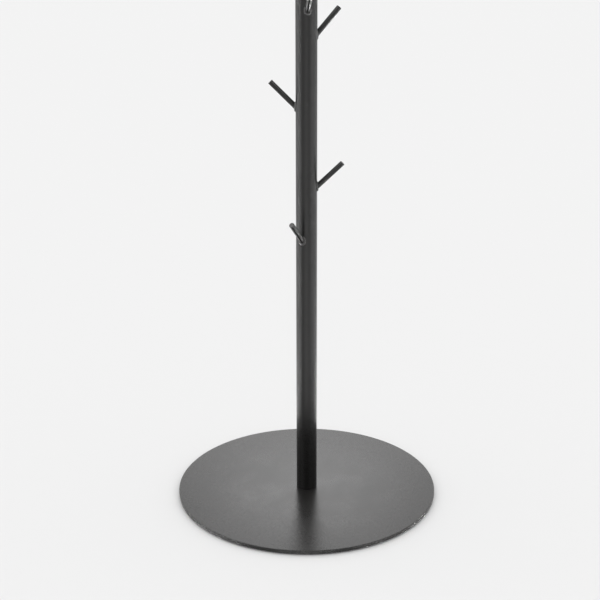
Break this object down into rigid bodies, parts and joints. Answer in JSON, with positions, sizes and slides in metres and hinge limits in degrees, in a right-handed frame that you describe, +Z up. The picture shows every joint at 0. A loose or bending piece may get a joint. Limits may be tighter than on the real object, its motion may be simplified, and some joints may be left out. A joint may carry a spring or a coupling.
{
  "type": "coat rack",
  "caption": "Free-standing coat rack: a thin round steel base plate, a slim round pole, and short straight round pegs around it that point outwards and up.",
  "frame": {"origin": "on the pole's axis at floor level, under the middle of the base plate", "axes": "+Z up along the pole; -Y is the front, where the lowest peg points, a little to -X"},
  "size_m": [0.41, 0.41, 1.73],
  "materials": {
    "powder_coat": "satin black powder coat with a fine grain",
    "zinc_steel": "bright zinc plating on turned steel",
    "cap_plastic": "matt black moulded plastic",
    "pad_rubber": "matt black rubber"
  },
  "bodies": {
    "root": {"base_plate": "powder_coat", "base_screw": "zinc_steel", "foot_insert": "zinc_steel", "lower_tube": "powder_coat", "joint_socket": "zinc_steel", "joint_stud": "zinc_steel", "joint_plug": "zinc_steel", "upper_tube": "powder_coat", "top_cap": "cap_plastic", "floor_pad_1": "pad_rubber", "floor_pad_2": "pad_rubber", "floor_pad_3": "pad_rubber", "floor_pad_4": "pad_rubber", "floor_pad_5": "pad_rubber", "floor_pad_6": "pad_rubber", "peg_1": "powder_coat", "peg_2": "powder_coat", "peg_3": "powder_coat", "peg_4": "powder_coat", "peg_5": "powder_coat", "peg_6": "powder_coat", "peg_7": "powder_coat", "peg_8": "powder_coat", "peg_9": "powder_coat", "peg_10": "powder_coat", "peg_11": "powder_coat", "peg_12": "powder_coat", "peg_13": "powder_coat", "peg_14": "powder_coat", "peg_15": "powder_coat", "peg_weld_1": "powder_coat", "peg_weld_2": "powder_coat", "peg_weld_3": "powder_coat", "peg_weld_4": "powder_coat", "peg_weld_5": "powder_coat", "peg_weld_6": "powder_coat", "peg_weld_7": "powder_coat", "peg_weld_8": "powder_coat", "peg_weld_9": "powder_coat", "peg_weld_10": "powder_coat", "peg_weld_11": "powder_coat", "peg_weld_12": "powder_coat", "peg_weld_13": "powder_coat", "peg_weld_14": "powder_coat", "peg_weld_15": "powder_coat"}
  },
  "joints": []
}
